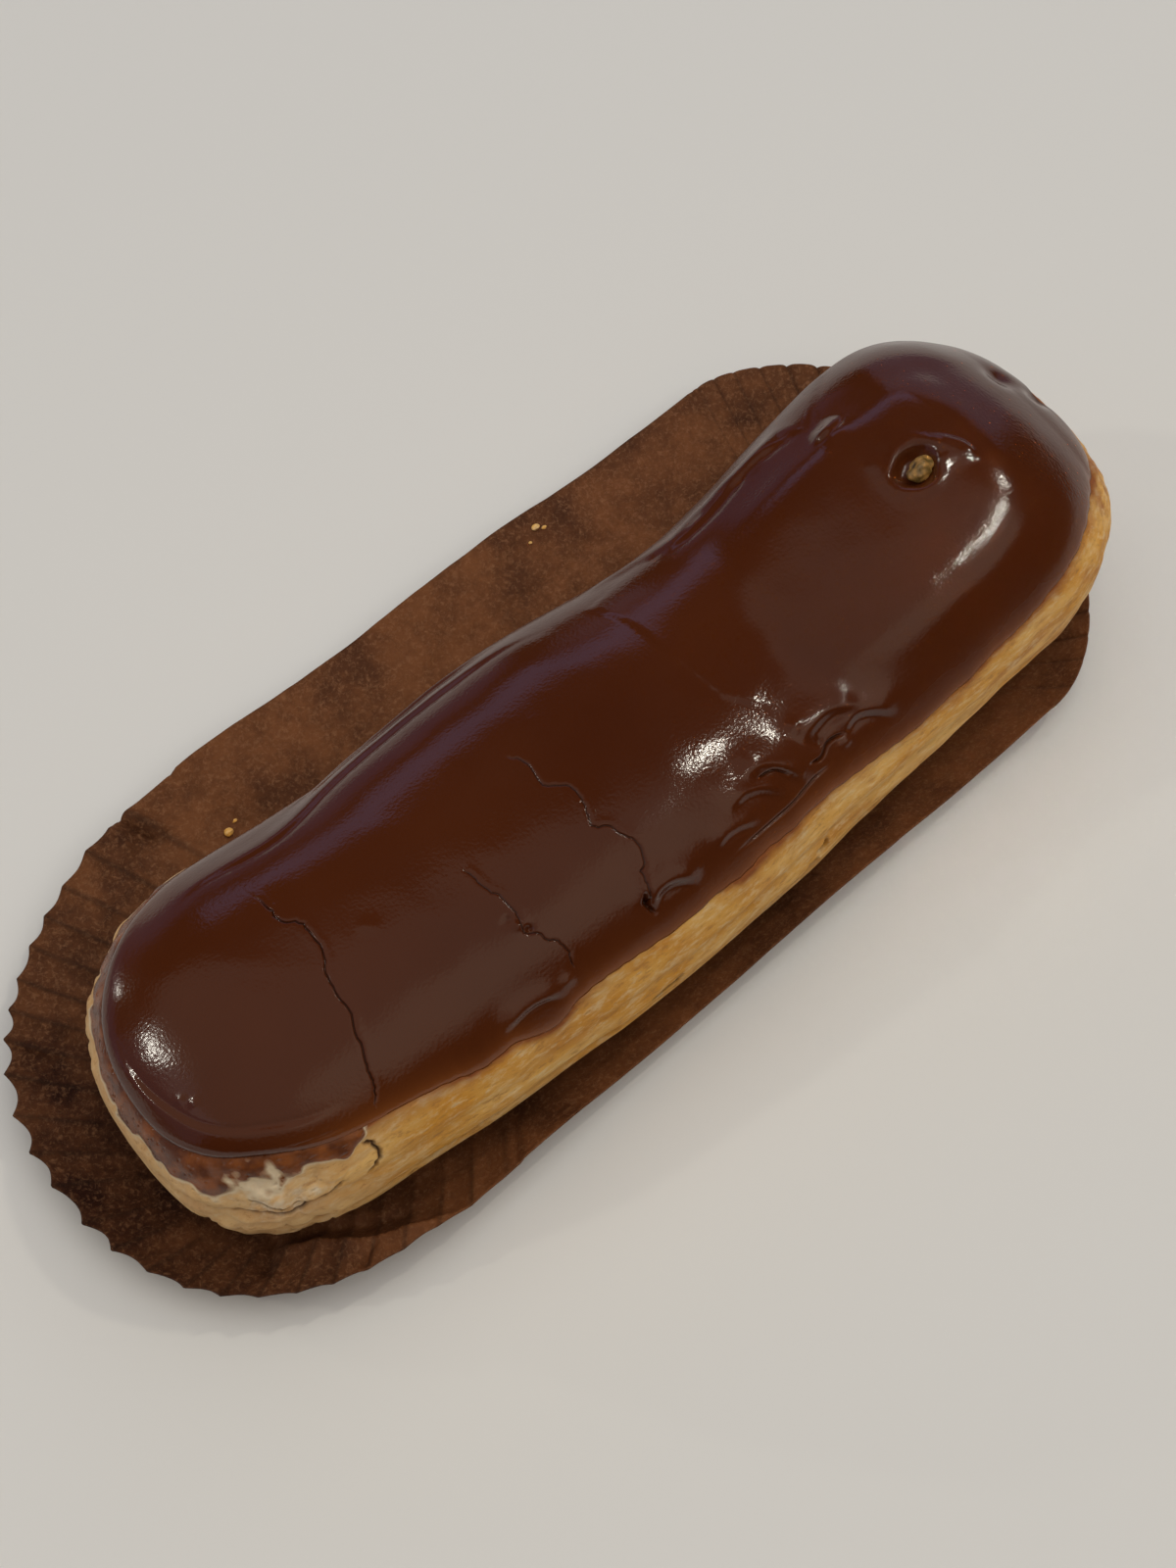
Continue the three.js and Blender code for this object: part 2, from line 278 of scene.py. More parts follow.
def path_distance(points, path, reach=6.0):
    """Each point's distance to a path, its place along it from 0 to 1, and its side. A
    point further than reach counts as far away."""
    best = np.full(len(points), FAR_AWAY)
    place = np.zeros(len(points))
    side = np.ones(len(points))
    near = np.all((points > path.min(0) - reach) & (points < path.max(0) + reach), axis=1)
    lengths = np.linalg.norm(path[1:] - path[:-1], axis=1)
    starts = np.concatenate([[0], np.cumsum(lengths)])
    close = points[near]
    found, along_path, hand = best[near], place[near], side[near]
    for i in range(len(path) - 1):
        start, ahead = path[i], path[i + 1] - path[i]
        t = np.clip(((close - start) @ ahead) / (ahead @ ahead), 0, 1)
        gap = close - start - t[:, None] * ahead
        distance = np.sqrt((gap * gap).sum(1))
        nearer = distance < found
        found = np.where(nearer, distance, found)
        along_path = np.where(nearer, (starts[i] + t * lengths[i]) / starts[-1], along_path)
        turn = ahead[0] * gap[:, 1] - ahead[1] * gap[:, 0]
        hand = np.where(nearer, np.where(turn >= 0, 1, -1), hand)
    best[near], place[near], side[near] = found, along_path, hand
    return best, place, side


# ---- The marks on the icing ----

# Clean cracks across the icing, where the bun flexed: plan points, width and depth.
CRACKS = (
    (((-45.6, 7.5), (-45.3, 3), (-43.6, -0.2), (-44.9, -5), (-45.2, -9.4), (-46.6, -13.8),
      (-47.2, -16), (-48.6, -18.2)), 0.08, 0.24),
    (((-27.2, -3.8), (-26.6, -7.4), (-25.7, -10.6), (-26.1, -13.4), (-23.6, -15.8),
      (-23.6, -18.6)), 0.07, 0.16),
    (((-16.4, 3.6), (-14.6, 0.6), (-12.9, -3.4), (-12.8, -6.4), (-13.6, -8.6), (-11.8, -10.5),
      (-10.7, -13), (-12.2, -15), (-12.6, -17), (-13.8, -18.6)), 0.07, 0.18),
)

# Folds where the soft icing slipped and rucked up: plan points, height and width. The
# steep side is on the left of the way that the points run.
FOLDS = (
    (((-6.6, -18.8), (-8, -17.7), (-9.9, -17.1), (-12, -17.3), (-13.3, -18.6)), 0.62, 1.2),
    (((20, -13.6), (16.8, -12.1), (13.6, -12.4), (11, -13.4)), 0.5, 1.3),
    (((23.4, -16.4), (20.8, -14.6), (18.2, -13.9), (15.8, -15)), 0.5, 1.1),
    (((10.2, -17), (8.8, -14.6), (6.2, -12.9), (2.6, -12.6)), 0.55, 1.4),
    (((7.2, -16.8), (5.2, -15), (2.6, -14.3), (-0.8, -14.9)), 0.35, 1.1),
    (((3, -17.4), (0.6, -16.6), (-2, -16.6), (-4.2, -17.4)), 0.26, 0.9),
    (((-25, -19.9), (-27.6, -19), (-30.4, -18.8), (-34, -19.4)), 0.4, 0.8),
    (((-65, 4.6), (-65.6, 0.4), (-65.3, -4), (-63.9, -8.4), (-61.5, -11.6), (-58.2, -13.9),
      (-54.6, -15.6), (-50, -16.6)), 0.3, 0.8),
    (((0, 15.4), (-8, 16.6), (-20, 16.2), (-31, 14.6), (-40, 12.2), (-49, 13),
      (-55, 11.6)), 0.3, 1),
    (((-5, 18.6), (-18, 18.2), (-28, 16.9), (-38, 15.2)), 0.26, 0.8),
    (((38, 16.6), (30, 17.6), (22, 16), (14, 15.4)), 0.4, 1.1),
    (((40, 14.2), (37.6, 13), (35, 13.2)), 0.4, 0.9),
    (((43.2, 4), (44.9, 2.7), (46.1, 0.6), (45.8, -2)), 0.45, 1.1),
)

# Deep creases between the folds.
CREASES = (
    (((10.8, -15.4), (12.7, -15.5), (14.4, -14.7), (16.8, -14.9)), 0.18, 0.5),
    (((4.4, -13.9), (6.8, -14), (8.6, -15.4)), 0.14, 0.3),
    (((-12.9, -16.6), (-13.4, -17.8), (-13, -19)), 0.25, 0.6),
    (((-2, -18.5), (2.7, -18), (7, -17.5), (10.7, -16.7), (14, -16.4)), 0.2, 0.22),
    (((-66.7, 4.2), (-67.2, -0.4), (-66.9, -4.4), (-65.4, -8.8), (-63, -12.3), (-60.2, -14.6),
      (-57, -16.2), (-53.2, -17.4), (-49.4, -17.9)), 0.24, 0.42),
)

# The step that crosses the waist, where two pours of icing meet.
STEPS = (
    (((3.2, 15.6), (5.1, 10.9), (6, 7.3), (6.5, 1.8), (7.2, -2), (7.6, -4.6), (9.6, -7.2),
      (11.8, -10.4)), 0.22, 0.5),
    (((5, 18.2), (11.2, 17), (17.7, 15.8), (26.6, 17.2), (34.6, 18.2), (39, 14)), 0.3, 0.9),
)

# Round marks: plan place, how far they stand up or sink, and their radius.
SPOTS = (
    (11.8, -11.6, 0.3, 0.8), (-24.9, -19, 0.3, 0.7),
    (-38.6, -3.6, 0.3, 0.6), (37.4, 12.4, 0.5, 1.5), (-62.5, -7, 0.22, 0.4),
    (-63.4, -5.7, 0.18, 0.4), (-21, 3.2, 0.12, 0.4), (-10.6, 5.2, 0.12, 0.4),
    (-10.7, 2.5, 0.12, 0.4), (-26.2, -12.5, 0.3, 0.5), (-25.4, -13.4, -0.5, 0.4),
    (-26.8, -11.4, -0.35, 0.35), (-13.4, -17.6, -0.6, 0.45), (13.4, -14.2, -0.4, 0.5),
    (16.2, -15.6, 0.3, 0.6), (37.7, 5.4, 0.35, 0.7), (43.4, 0.7, 0.2, 0.5),
    (60.5, 8.5, -0.7, 2), (63, 4.5, -0.5, 1.6), (52, 12.5, -0.4, 3.2),
    (46, 11.5, 0.3, 2.6),
)

# The crater in the hump: its hole, its raised rim, and the mound that it sits on.
CRATER = {"x": 40.6, "y": 2.5, "radius": 2.0, "depth": 1.3, "rim": 0.3, "rim_width": 0.8}
MOUND = {"x": 34, "y": 0, "length": 16.2, "width": 12.8, "softness": 0.075, "height": 1}


def curved(plan):
    """Plan points joined by one smooth curve on the skin."""
    table = np.column_stack([np.arange(len(plan)), np.array(plan, float)])
    at = np.linspace(0, len(plan) - 1, 6 * len(plan))
    return lifted(np.column_stack([along(table, 1, at), along(table, 2, at)]))


def fading(place, share=0.18):
    """1 along a path, easing to 0 at its two ends."""
    return smoothstep(0, share, place) * smoothstep(0, share, 1 - place)


def rough_paths(marks, lay, roughness, seed):
    """Each mark's points made a rough path, laid on the skin, and its two measures."""
    return [
        (lay(roughened(points, roughness, seed + i)), *measures)
        for i, (points, *measures) in enumerate(marks)
    ]


CRACK_PATHS = rough_paths(CRACKS, lifted, 0.09, 11)
FOLD_PATHS = [(curved(plan), height, width) for plan, height, width in FOLDS]
CREASE_PATHS = [(curved(plan), width, depth) for plan, width, depth in CREASES]
STEP_PATHS = rough_paths(STEPS, lifted, 0.08, 71)


def icing_relief(points):
    """How far the icing stands out over its smooth skin, and its painted shade in cracks and
    creases.
    """
    out = np.zeros(len(points))
    dark = np.zeros(len(points))
    for path, width, depth in CRACK_PATHS:
        gap, place, side = path_distance(points, path)
        strength = smoothstep(0, 0.1, place) * smoothstep(0, 0.04, 1 - place)
        groove_and_shade = bell(gap / width) * strength
        out -= depth * groove_and_shade
        out += 0.05 * strength * np.where(side > 0, 1, 0.3) * bell((gap - 0.5) / 0.4)
        # Painted shade: the crack is darkened in colour as well as cut in.
        dark = np.maximum(dark, groove_and_shade)
    for path, width, depth in CREASE_PATHS:
        gap, place, _ = path_distance(points, path)
        groove_and_shade = bell(gap / width) * fading(place, 0.25)
        out -= depth * groove_and_shade
        # Painted shade in the crease, at six tenths of the crack's.
        dark = np.maximum(dark, 0.6 * groove_and_shade)
    for path, height, width in FOLD_PATHS:
        gap, place, side = path_distance(points, path)
        across = gap * side / width
        shape = bell(across / np.where(across < 0, 1.7, 0.5))
        shape -= 0.3 * bell((across - 0.95) / 0.35)
        out += height * shape * fading(place, 0.3)
    for path, height, width in STEP_PATHS:
        gap, place, side = path_distance(points, path)
        across = gap * side
        fall = np.exp(-np.maximum(across, 0) / 5) * (across > 0)
        shape = smoothstep(-width, width, across) * np.where(across > 0, fall, 1)
        out += height * np.where(across < -width, 0, shape) * fading(place)
    for x, y, height, radius in SPOTS:
        centre = lifted(((x, y),))[0]
        gap = np.linalg.norm(points - centre, axis=1)
        out += height * bell(gap / radius)
    across = np.abs(points[:, :2] - (MOUND["x"], MOUND["y"]))
    reach = ((across / (MOUND["length"], MOUND["width"])) ** 3).sum(1) ** (1 / 3)
    out += MOUND["height"] / (1 + np.exp((reach - 1) / MOUND["softness"]))
    reach = np.hypot(points[:, 0] - CRATER["x"], points[:, 1] - CRATER["y"])
    reach = reach * (1 + 0.3 * lattice_noise(points, 2.4, 5))
    out -= CRATER["depth"] * (1 - smoothstep(0.45, 1.25, reach / CRATER["radius"]))
    out += CRATER["rim"] * bell((reach - CRATER["radius"] * 1.5) / CRATER["rim_width"])
    return out + lumps(points, ICING_SWELLS), dark


# ---- Making pieces ----


def shift_to_row():
    """From the bun's frame to the row's frame, in millimetres."""
    low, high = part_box("choux_bun")
    x = high.x / MM - HUMPED_TIP
    y = (low.y + high.y) / 2 / MM - BUN_MIDDLE_Y
    return np.array([x, y, 0])


SHIFT = shift_to_row()


def to_row(points):
    return (np.asarray(points) + SHIFT) * MM


def select_none():
    if bpy.context.object and bpy.context.object.mode != "OBJECT":
        bpy.ops.object.mode_set(mode="OBJECT")
    bpy.ops.object.select_all(action="DESELECT")


def just_added(name):
    """The piece that an operator has just added, with its name."""
    piece = bpy.context.object
    piece.name = name
    piece.data.name = name
    return piece


def make_active(piece):
    select_none()
    piece.select_set(True)
    bpy.context.view_layer.objects.active = piece


def unit_ball(name, segments, rings):
    """A ball whose rings run from one end of a piece to the other."""
    select_none()
    bpy.ops.mesh.primitive_uv_sphere_add(segments=segments, ring_count=rings, radius=1)
    return just_added(name)


def mesh_points(piece):
    co = np.empty(len(piece.data.vertices) * 3)
    piece.data.vertices.foreach_get("co", co)
    return co.reshape(-1, 3)


def ball_places(ball):
    """Each vertex's share of the way from pole to pole, and of the way round."""
    co = mesh_points(ball)
    co /= np.linalg.norm(co, axis=1, keepdims=True)
    down = np.arccos(np.clip(co[:, 2], -1, 1)) / math.pi
    round_ = (np.arctan2(co[:, 1], co[:, 0]) / (2 * math.pi)) % 1
    return down, round_


def refine(piece, place, paths, reaches):
    """Subdivides the faces near the paths, once for each reach."""
    for reach in reaches:
        points = place(*ball_places(piece))
        near = np.zeros(len(points), bool)
        for path in paths:
            gap, _, _ = path_distance(points, path)
            near |= gap < reach
        make_active(piece)
        bpy.ops.object.mode_set(mode="EDIT")
        bpy.ops.mesh.select_all(action="DESELECT")
        bpy.ops.object.mode_set(mode="OBJECT")
        for face in piece.data.polygons:
            face.select = bool(near[list(face.vertices)].any())
        bpy.ops.object.mode_set(mode="EDIT")
        bpy.ops.mesh.select_mode(type="FACE")
        bpy.ops.mesh.subdivide(number_cuts=1)
        bpy.ops.object.mode_set(mode="OBJECT")


def set_points(piece, points):
    piece.data.vertices.foreach_set("co", np.asarray(points, np.float32).ravel())
    piece.data.update()


def set_share(piece, name, values):
    """Stores one number from 0 to 1 at each vertex, for the material to read."""
    attribute = piece.data.attributes.new(name, "FLOAT", "POINT")
    attribute.data.foreach_set("value", np.clip(values, 0, 1).astype(np.float32))


def finish_piece(piece, material, replaced=()):
    """Turns the faces outwards, shades them smooth and hands the piece to the frame."""
    make_active(piece)
    bpy.ops.object.mode_set(mode="EDIT")
    bpy.ops.mesh.select_all(action="SELECT")
    bpy.ops.mesh.normals_make_consistent(inside=False)
    bpy.ops.object.mode_set(mode="OBJECT")
    bpy.ops.object.shade_smooth()
    piece.data.materials.clear()
    piece.data.materials.append(material)
    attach(piece, "root")
    if replaced:
        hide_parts(*replaced)


# ---- The icing ----

ICING_UNDERSIDE = 0.14  # the share of the way round that the hidden underside takes


def icing_ends():
    """The first and last stations that the icing covers."""
    x = np.linspace(PLAIN_TIP + 0.5, HUMPED_TIP - 0.5, 2000)
    near, far = lip_angle(x, True), lip_angle(x, False)
    covered = x[np.maximum(near, far) < math.pi / 2 - 0.12]
    return covered[0], covered[-1]


ICING_START, ICING_END = icing_ends()


def icing_station(down, round_):
    """The icing's station, the angle round the section, and how far it is underneath."""
    eased = 0.45 * down + 0.55 * (1 - np.cos(math.pi * down)) / 2
    x = ICING_START + (ICING_END - ICING_START) * eased
    half_under = ICING_UNDERSIDE / 2
    from_seam = np.minimum(round_, 1 - round_)
    under = np.clip(1 - from_seam / half_under, 0, 1)
    top_share = np.clip((round_ - half_under) / (1 - ICING_UNDERSIDE), 0, 1)
    across = np.where(round_ > 0.5, round_ - 1, round_)
    under_share = 0.5 - across / ICING_UNDERSIDE
    share = np.where(under > 0, under_share, top_share)
    first, last = lip_angle(x, False), math.pi - lip_angle(x, True)
    return x, first + (last - first) * share, under


def bead_share(x, angle):
    """1 where the icing ends in a thick rounded lip, 0 where it runs out thin."""
    bead = 1 - smoothstep(-61, -49, x)
    bead = np.maximum(bead, 0.3 * smoothstep(36, 46, x))
    return np.maximum(bead, 0.4 * smoothstep(0, 0.5, np.cos(angle)))


EDGE_SINK = 0.06  # how far the icing's very edge is let into the crust
EDGE_RUN = 1.5  # over how many millimetres above the lip a thin edge thickens
BEAD_RUN = 0.5  # the same for a thick rounded lip


def crust_inset(above):
    """How far the crust lies under the icing's smooth skin, from the lip inwards."""
    return ICING_THICKNESS * (1 - np.exp(-np.maximum(above, 0) / EDGE_RUN))


def lip_rise(above, bead):
    """How far a thick lip stands out over the icing's smooth skin."""
    run = EDGE_RUN + (BEAD_RUN - EDGE_RUN) * bead
    inwards = np.maximum(above, 0)
    return ICING_THICKNESS * (np.exp(-inwards / EDGE_RUN) - np.exp(-inwards / run))


def icing_place(down, round_):
    x, angle, _ = icing_station(down, round_)
    return skin(x, angle)


def ring_path(x, y, radius, steps=24):
    turns = np.linspace(0, 2 * math.pi, steps + 1)
    return lifted([(x + radius * math.cos(a), y + radius * math.sin(a)) for a in turns])


def make_icing(material):
    icing = unit_ball("icing_coat", 122, 240)
    cut = [path for path, _, _ in CRACK_PATHS + CREASE_PATHS]
    raised = [path for path, _, _ in FOLD_PATHS + STEP_PATHS[:1]]
    crater = [ring_path(CRATER["x"], CRATER["y"], CRATER["radius"])]
    refine(icing, icing_place, cut + raised + crater, (1.0,))
    refine(icing, icing_place, cut + crater, (0.5, 0.28))
    down, round_ = ball_places(icing)
    x, angle, under = icing_station(down, round_)
    points = skin(x, angle)
    relief, dark = icing_relief(points)
    above = points[:, 2] - lip_height(x, angle)
    bead = bead_share(x, angle)
    settled = smoothstep(0.2, 2.2, above)
    top = lip_rise(above, bead) + relief * settled
    top -= EDGE_SINK * (1 - smoothstep(0, 0.5, above))
    below = -EDGE_SINK - (ICING_THICKNESS - EDGE_SINK) * smoothstep(0, 0.25, under)
    out = np.where(under > 0, below, top)
    normal = skin_normal(x, angle)
    set_points(icing, to_row(points + normal * out[:, None]))
    steep = 1 - smoothstep(0.45, 0.85, normal[:, 2])
    set_share(icing, "dull", steep * (0.3 + 0.7 * smoothstep(-40, -5, x)))
    # Painted shade: cracks and creases darkened in the icing's colour.
    set_share(icing, "crack_shade", np.where(under > 0, 0, dark * settled))
    thin = np.exp(-np.maximum(above, 0) / 0.9) * (1 - bead)
    set_share(icing, "thin", np.where(under > 0, 1, thin))
    finish_piece(icing, material, ("chocolate_icing",))


# ---- The bun ----


def bun_station(down, round_):
    """Rings crowd at the ends, and sides crowd where the baked crust shows."""
    eased = 0.5 * down + 0.5 * (1 - np.cos(math.pi * down)) / 2
    x = PLAIN_TIP + (HUMPED_TIP - PLAIN_TIP) * eased
    degrees = np.interp(round_, (0, 0.04, 0.3, 0.36, 0.42, 0.82, 0.9, 1.0),
                        (-100, -75, 40, 60, 120, 250, 255, 260))
    return x, np.radians(degrees)


def bun_place(down, round_):
    return skin(*bun_station(down, round_))


# Splits in the crust's near side: stations and heights above the counter, width, depth.
CRUST_SPLITS = (
    (((-47, 9.2), (-44, 9.8), (-41, 10), (-38.4, 10.8), (-35.6, 10)), 0.6, 1.6),
    (((-52, 8.4), (-49.5, 8.6), (-46.8, 9.2)), 0.2, 0.5),
    (((-51.6, 20.4), (-50.4, 20.2), (-50.2, 18.9), (-51, 17.6), (-52.4, 16.6)), 0.22, 0.5),
    (((-66, 15), (-63.5, 15.6), (-61.5, 15.2), (-59, 16), (-56.5, 16.4),
      (-54, 17.6)), 0.18, 0.4),
    (((-63.6, 18.4), (-62, 17), (-60.4, 16.4), (-59, 16.2)), 0.16, 0.35),
    (((9.6, 13.8), (10.4, 13.2), (11, 13.4)), 0.55, 1.1),
    (((7, 10.9), (8.4, 10.4), (9.6, 10.7)), 0.75, 1.4),
    (((-16.5, 12), (-14, 12.2), (-11.5, 12.6)), 0.3, 0.35),
)


def on_near_side(stations):
    """A path of stations and heights laid on the near side of the skin."""
    angles = np.linspace(math.pi / 2, 1.4 * math.pi, 400)
    found = []
    for x, z in stations:
        line = skin(np.full_like(angles, x), angles)
        found.append(line[np.argmin(np.abs(line[:, 2] - z))])
    return np.array(found)


CRUST_PATHS = rough_paths(CRUST_SPLITS, on_near_side, 0.12, 91)


# The grooves that run along the crust: height, width and depth.
CRUST_GROOVES = ((10.2, 0.7, 1.15), (5.2, 0.8, 0.35), (15.6, 0.8, 0.3))
CRUST_GRAIN_STRETCH = 7  # how much longer the crust's pores are than they are wide

# The patch at the plain end where the glaze missed the cracked, floury crust, and how deep
# its flaky steps go.
BARE_PATCH = {"x": -60.4, "z": 18, "length": 4.8, "height": 3.8}
BARE_DEPTH = 0.35


def crust_relief(points, bare):
    """The baked crust's ridges, grooves, splits and grain, then how deep in the splits and
    grooves each place lies: the masks for their painted shade."""
    x, height = points[:, 0], points[:, 2]
    none = np.zeros_like(x)
    level = height + 1.1 * lattice_noise(np.column_stack([x, none, none + 3]), 26, 7)
    groove_and_shade = sum(depth * bell((level - at) / width) for at, width, depth in CRUST_GROOVES)
    groove_and_shade = groove_and_shade * (0.7 + 0.5 * lattice_noise(np.column_stack([x, none, none]), 19, 8))
    out = lumps(np.column_stack([x / CRUST_GRAIN_STRETCH, points[:, 1], height]), CRUST_GRAIN)
    out += lumps(points, CRUST_LUMPS)
    split_shade = none
    cut = none
    for path, width, depth in CRUST_PATHS:
        gap, place, _ = path_distance(points, path)
        shape = bell(gap / width) * fading(place, 0.12)
        cut = np.maximum(cut, depth * shape)
        # Painted shade mask for the split; the cut is its depth.
        split_shade = np.maximum(split_shade, shape)
    flakes = np.floor(3 * (lattice_noise(points, 1.7, 46) + 1)) / 3
    crazed = bell(lattice_noise(points, 2.9, 50) / 0.1)
    end = 1 - smoothstep(-62, -46, x)
    out += end * (lumps(points, PLAIN_END_LUMPS) - 0.28 * crazed)
    out += BARE_DEPTH * bare * (flakes - 1) - groove_and_shade - cut
    return out, split_shade, groove_and_shade


def bare_share(points):
    """1 where the crust is bare, ragged and flaky towards the patch's edge."""
    along_bun = (points[:, 0] - BARE_PATCH["x"]) / BARE_PATCH["length"]
    up = (points[:, 2] - BARE_PATCH["z"]) / BARE_PATCH["height"]
    flaky = 0.75 + 0.4 * lattice_noise(points, 1.1, 48)
    patch = smoothstep(0, 0.9, 1 - along_bun**2 - up**2 + lumps(points, BARE_EDGE))
    return patch * flaky * (points[:, 1] < 0)


def glaze_share(points, above, bare):
    """Where a thin sugar glaze has run out from under the icing, round the plain end."""
    x = points[:, 0]
    reach = 3.3 * (1 - smoothstep(-60, -45.5, x)) * np.where(points[:, 1] < 0, 1, 0.8)
    wet = smoothstep(0, 0.9, reach + above - 0.3 + lumps(points, GLAZE_EDGE))
    return wet * (1 - bare) * (reach > 0.3)


def make_bun(material):
    bun = unit_ball("baked_bun", 190, 380)
    refine(bun, bun_place, [path for path, _, _ in CRUST_PATHS], (1.3, 0.7))
    x, angle = bun_station(*ball_places(bun))
    points = skin(x, angle)
    above = points[:, 2] - lip_height(x, angle)
    bare = bare_share(points)
    edge = 0.7 * lattice_noise(points, (9, 3, 2), 41)
    wet = glaze_share(points, above + 0.8 * edge, bare)
    relief, split_shade, groove_and_shade = crust_relief(points, bare)
    shown = 1 - smoothstep(-0.6, 0.4, above)
    seat = smoothstep(SEAT_HEIGHT, SEAT_HEIGHT + 1.5, points[:, 2])
    depth = crust_inset(above) + (HIDDEN_DEPTH - ICING_THICKNESS) * smoothstep(2.5, 5.5, above)
    room = np.minimum(x - PLAIN_TIP, HUMPED_TIP - x)
    blobs = 0.16 * lattice_noise(points, 1.8, 49)
    relief = relief * (1 - 0.75 * wet) + (0.12 + blobs) * wet
    out = relief * shown * seat * smoothstep(0, 1.5, room) - np.minimum(depth, 0.9 * room + 0.01)
    placed = points + skin_normal(x, angle) * out[:, None]
    placed[:, 2] = np.maximum(placed[:, 2], SEAT_HEIGHT)
    set_points(bun, to_row(placed))
    reach = 0.75 + 0.55 * lattice_noise(points, 12, 42)
    set_share(bun, "stain", np.exp(np.minimum(above + edge, 0) / np.maximum(reach, 0.3)))
    # Painted shade: the crust darkened down in its splits and grooves.
    set_share(bun, "split_shade", split_shade)
    set_share(bun, "groove_and_shade", groove_and_shade)
    floury = 1 - smoothstep(2.5, 11, points[:, 2] + 1.5 * edge)
    floury_end = 0.6 * (1 - smoothstep(-62, -44, x + 3 * edge))
    set_share(bun, "flour", np.maximum(floury, floury_end))
    set_share(bun, "toast", 0.3 + 0.3 * smoothstep(20, 48, x) + 0.5 * smoothstep(52, 66, x))
    set_share(bun, "bare", bare)
    set_share(bun, "glaze", wet)
    finish_piece(bun, material, ("choux_bun",))


# ---- The paper case ----

CASE_CENTRE = (-3.6, 7.7)
CASE_TURN = math.radians(3.9)
CASE_END_SLIP = 2.5  # how far the plain end of the case has slipped towards the near side
CASE_LEFT = {"reach": 74.4, "rounding": 39, "power": 2.3, "pleats": 25, "depth": 1.0, "rim": 5.4}
CASE_RIGHT = {"reach": 73.2, "rounding": 24, "power": 1.8, "pleats": 21, "depth": 0.6, "rim": 5.5}
CASE_HALF_WIDTH = 31.8
CASE_SIDE_RIM = 5.0
CASE_SIDE_WAVE = (0.7, 46)
BASE_OFFSET = (2, -5.6)
BASE_LENGTH = 128
BASE_WIDTH = 34
BASE_SHARE = 0.2  # the share of the way from the middle to the rim that is flat base
PAPER = 0.18
WALL_CURL = 1.3
END_SHARE = 0.41  # the share of the steps round the case that each pleated end takes

# Folds pressed into the paper by hand: plan points, height and width. Minus is a valley.
CASE_FOLDS = (
    (((-64.6, -15.6), (-63.6, -17.3), (-59, -19.9), (-54.7, -23.5), (-48.4, -26.2),
      (-44, -27)), 2.8, 1.6),
    (((-62, -16), (-58, -18), (-53, -21.6), (-47, -24.2)), -0.8, 0.8),
    (((-57.5, -26), (-56, -24.6), (-53.6, -23.6)), -0.9, 0.5),
    (((-66.6, -20.6), (-64, -17.6), (-61.6, -14.6)), -0.7, 0.7),
    (((-49.4, 36.8), (-48.9, 34.6), (-48.2, 32.6), (-46.6, 30.4)), -0.9, 0.45),
    (((-51, 35.8), (-50, 33.4), (-49.4, 30.6)), 0.9, 0.7),
    (((-48.2, 36), (-46.6, 33.6), (-44.6, 31.2)), 0.9, 0.7),
    (((-24, 29.4), (0, 31.6), (20, 33), (40, 33.6)), -0.3, 0.35),
)


def case_outline(turn):
    """The rim at a share of the way round, its height, and the pleats' depth and phase."""
    left_corner = CASE_LEFT["rounding"] - CASE_LEFT["reach"]
    right_corner = CASE_RIGHT["reach"] - CASE_RIGHT["rounding"]
    side = 0.5 - END_SHARE
    x, y, rim, depth, phase = (np.zeros_like(turn) for _ in range(5))
    ends = (
        (0, CASE_RIGHT, right_corner, -math.pi / 2),
        (0.5, CASE_LEFT, left_corner, math.pi / 2),
    )
    for start, end, corner, first in ends:
        here = (turn >= start) & (turn <= start + END_SHARE)
        share = (turn[here] - start) / END_SHARE
        angle = first + math.pi * share
        round_end = np.abs(np.cos(angle)) ** 0.4
        none = np.zeros_like(share)
        uneven = lattice_noise(np.column_stack([share * 9, none, none]), 1, 61)
        phase[here] = 2 * math.pi * (end["pleats"] * share + 0.55 * uneven)
        depth[here] = end["depth"] * round_end * (1 + 0.35 * uneven)
        x[here] = corner + end["rounding"] * fullness_power(np.cos(angle), end["power"])
        y[here] = CASE_HALF_WIDTH * fullness_power(np.sin(angle), end["power"])
        rim[here] = CASE_SIDE_RIM + (end["rim"] - CASE_SIDE_RIM) * round_end
    sides = (
        (END_SHARE, 1, right_corner, left_corner),
        (0.5 + END_SHARE, -1, left_corner, right_corner),
    )
    for start, hand, first, last in sides:
        here = (turn > start) & (turn < start + side)
        x[here] = first + (last - first) * (turn[here] - start) / side
        y[here] = hand * CASE_HALF_WIDTH
        rim[here] = CASE_SIDE_RIM
    return x, y, rim, depth, phase


def pressed_height(x, y):
    """How high the paper may rise over a plan point before it meets the bun's underside."""
    rounding = both_ends(x)
    half = along(SECTIONS, 1, x) * rounding
    fall = BELLY_DEPTH * rounding
    across = np.abs(y - along(SECTIONS, 3, x)) / np.maximum(half, 1e-6)
    depth = fall * np.clip(1 - across**BELLY_FULLNESS, 0, 1) ** (1 / BELLY_FULLNESS)
    under = np.maximum(WAIST_HEIGHT - depth, SEAT_HEIGHT)
    return np.where(across < 1, (under - SEAT_HEIGHT) * 0.75, FAR_AWAY)


